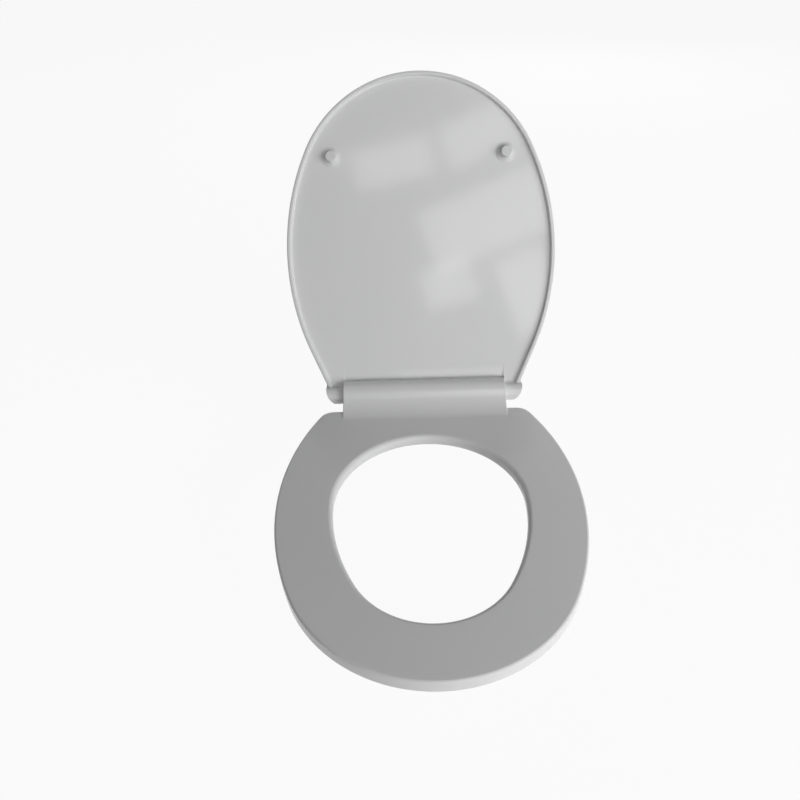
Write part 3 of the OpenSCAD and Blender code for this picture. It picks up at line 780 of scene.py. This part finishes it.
# Fixing studs. A zinc-plated steel stud is screwed into each post. The upper part of its shank
# is plain, and below that it has a rolled thread with flat crests and a tapered tip.
china_t, stud_tail, shank_l, shank_r, core_stud_r = 28, 34, 18, 4, 3.55
crest_r, root_r, pitch, tip_taper = 3.98, 3.3, 1.25, 0.85
stud_low, shank_low = china - china_t - stud_tail, china - shank_l
turns = round((shank_low - stud_low) / pitch) + 4  # more than are needed, and then cut off
rise = pitch * 5 / 16
stud = line("stud_right", (root_r, stud_d, stud_low - 1.7 * pitch),
            (0, 0, pitch / 8), (crest_r - root_r, 0, rise), (0, 0, pitch / 8),
            (root_r - crest_r, 0, rise), (0, 0, pitch / 8))
modify(stud, "SCREW", axis="Z", screw_offset=pitch * MM, iterations=turns,
       steps=28, render_steps=28)
edit(stud)
bpy.ops.mesh.remove_doubles(threshold=weld * MM)
for up, way in ((stud_low, -1), (shank_low, 1)):
    slice_off((0, 0, up), (0, 0, way))
select("VERT", lambda at, _: abs(at.z - stud_low) < near)
bpy.ops.transform.resize(value=(tip_taper, tip_taper, 1), center_override=(0, 0, 0))
bpy.ops.mesh.select_all(action="SELECT")
bpy.ops.transform.translate(value=(stud_x * MM, 0, 0))
close(stud)
stud_top = foot_top + boss_h - 2
cut(stud, puck("shank", shank_r, shank_low - 0.5, china, rounding=0.5), "UNION")
cut(stud, puck("stud_top", core_stud_r, china - 1, stud_top, rounding=0.5), "UNION")
zinc = metal("zinc_plate", (0.62, 0.63, 0.64), (0.26, 0.42), 90.0)
pair(stud, "stud", zinc, "steel", "fixing_stud")


# Cone washers. A rubber cone centres each stud in the china's hole, on a flange below it.
# Cone and flange are moulded in one, with their edges rounded off.
cone_r, cone_top_r, cone_h, flange_r, flange_t = 11.2, 5.8, 9, 16, 5
china_low = china - china_t
flange_low = china_low - flange_t
cone = washer("cone_right", stud_hole_r, (flange_r, flange_low), (flange_r, china_low),
              (cone_r, china_low), (cone_top_r, china_low + cone_h))
round_rim(flange_r, flange_low, rounding=0.8)
round_rim(flange_r, china_low, rounding=0.8)
round_rim(cone_top_r, china_low + cone_h, rounding=0.5)
lathe(cone, stud_x, stud_d, steps=80)
pair(cone, "cone", rubber, "rubber", "cone_washer")


# Flat washers. A zinc-plated steel ring spreads the wing nut's load over the rubber. It is
# stamped, so its lower edge is rolled over more than its upper one.
washer_t = 2
washer_low = flange_low - washer_t
plate = washer("plate_washer_right", stud_hole_r, (flange_r, washer_low), (flange_r, flange_low))
round_rim(flange_r, flange_low, rounding=0.25, steps=2)
round_rim(flange_r, washer_low, rounding=0.6, steps=3)
lathe(plate, stud_x, stud_d, steps=96)
pair(plate, "plate_washer", zinc, "steel", "flat_washer")


# Wing nuts. Each is moulded in white nylon: a tapered hub with two rounded wings for the
# fingers. They are tightened by hand from below, so that the china doesn't crack.
hub_r, hub_taper, hub_h, nut_bore_r = 8, 1.5, 12, 4.05
wing_t, wing_r, wing_edge_r, span = 4, 5, 1.2, 38
nut_low = washer_low - hub_h
nut = washer("nut_right", nut_bore_r, (hub_r - hub_taper, nut_low), (hub_r, washer_low))
round_rim(hub_r - hub_taper, nut_low, rounding=0.8)
round_rim(hub_r, washer_low, rounding=0.5)
lathe(nut, stud_x, stud_d, steps=80)

wing_x, wing_up, dip = span / 2 - wing_r, wing_r - 1.5, math.degrees(math.asin(0.7))
inset = wing_x - wing_r * math.cos(math.radians(dip))
wings = line("wings", (stud_x - wing_x, stud_d + wing_t / 2, nut_low + wing_up + wing_r),
             (2 * wing_x, 0, 0))
for way in (1, -1):
    centre = ((stud_x + way * wing_x) * MM, -wing_t / 2 * MM, (hinge.z + nut_low + wing_up) * MM)
    bpy.ops.mesh.spin(steps=24, angle=-math.radians(270 - dip), center=centre, axis=(0, 1, 0))
    if way == 1:
        extrude(-2 * inset, 0, 0)
thicken(wings, 0, -wing_t, 0)
modify(wings, "BEVEL", width=wing_edge_r * MM, segments=4, limit_method="ANGLE",
       angle_limit=math.radians(60))
cut(wings, puck("bore", nut_bore_r, nut_low - 5, washer_low + 5, rounding=0.1))
cut(nut, wings, "UNION")
nylon = moulded("nylon_white", (0.7, 0.7, 0.68), (0.76, 0.76, 0.74),
                (0.34, 0.48), 40.0, 700.0)
pair(nut, "nut", nylon, "nut", "wing_nut")


# Dampers and bearings. Two sealed oil dampers lie in the barrels. Their flatted shafts turn in
# acetal bushes and are keyed to steel inserts, and these are pressed into the ring and the lid.
# The CAD shapes of all eight are kept.
def turned_metal(name, colour, gloss):
    """Steel turned on a lathe, with fine rings round the hinge axis."""
    material = bpy.data.materials.new(name)
    shade = Shade(material)
    place = shade.node("ShaderNodeTexCoord", output="Object")
    along = shade.node("ShaderNodeVectorMath", {"operation": "MULTIPLY"},
                       {0: place, 1: (1.0, 0.02, 0.02)})
    rings = shade.node("ShaderNodeTexNoise", {"noise_dimensions": "3D"},
                       {"Vector": along, "Scale": 3000.0, "Detail": 2.0})
    principled(shade, {
        "Base Color": tinted(shade, rings, [0.9 * c for c in colour], colour),
        "Metallic": 1.0,
        "Roughness": rings * (gloss[1] - gloss[0]) + gloss[0],
        "Normal": bumped(shade, rings, depth=0.01)})
    return material


acetal = moulded("acetal_cream", (0.74, 0.72, 0.66), (0.79, 0.77, 0.71),
                 (0.3, 0.42), 60.0, 900.0)
damper_black = moulded("damper_black", (0.07, 0.075, 0.08), (0.11, 0.12, 0.13),
                       (0.42, 0.6), 60.0, 1200.0)
steel = turned_metal("turned_steel", (0.62, 0.62, 0.62), (0.22, 0.36))
kept = {"seat_bush_left": acetal, "lid_bush_right": acetal,
        "seat_insert_right": steel, "lid_insert_left": steel,
        "damper_shaft_left": steel, "damper_shaft_right": steel,
        "damper_body_left": damper_black, "damper_body_right": damper_black}
for node, material in kept.items():
    for place in frame["nodes"][node].material_slots:
        place.material = material


bpy.context.scene.view_settings.view_transform = "Standard"
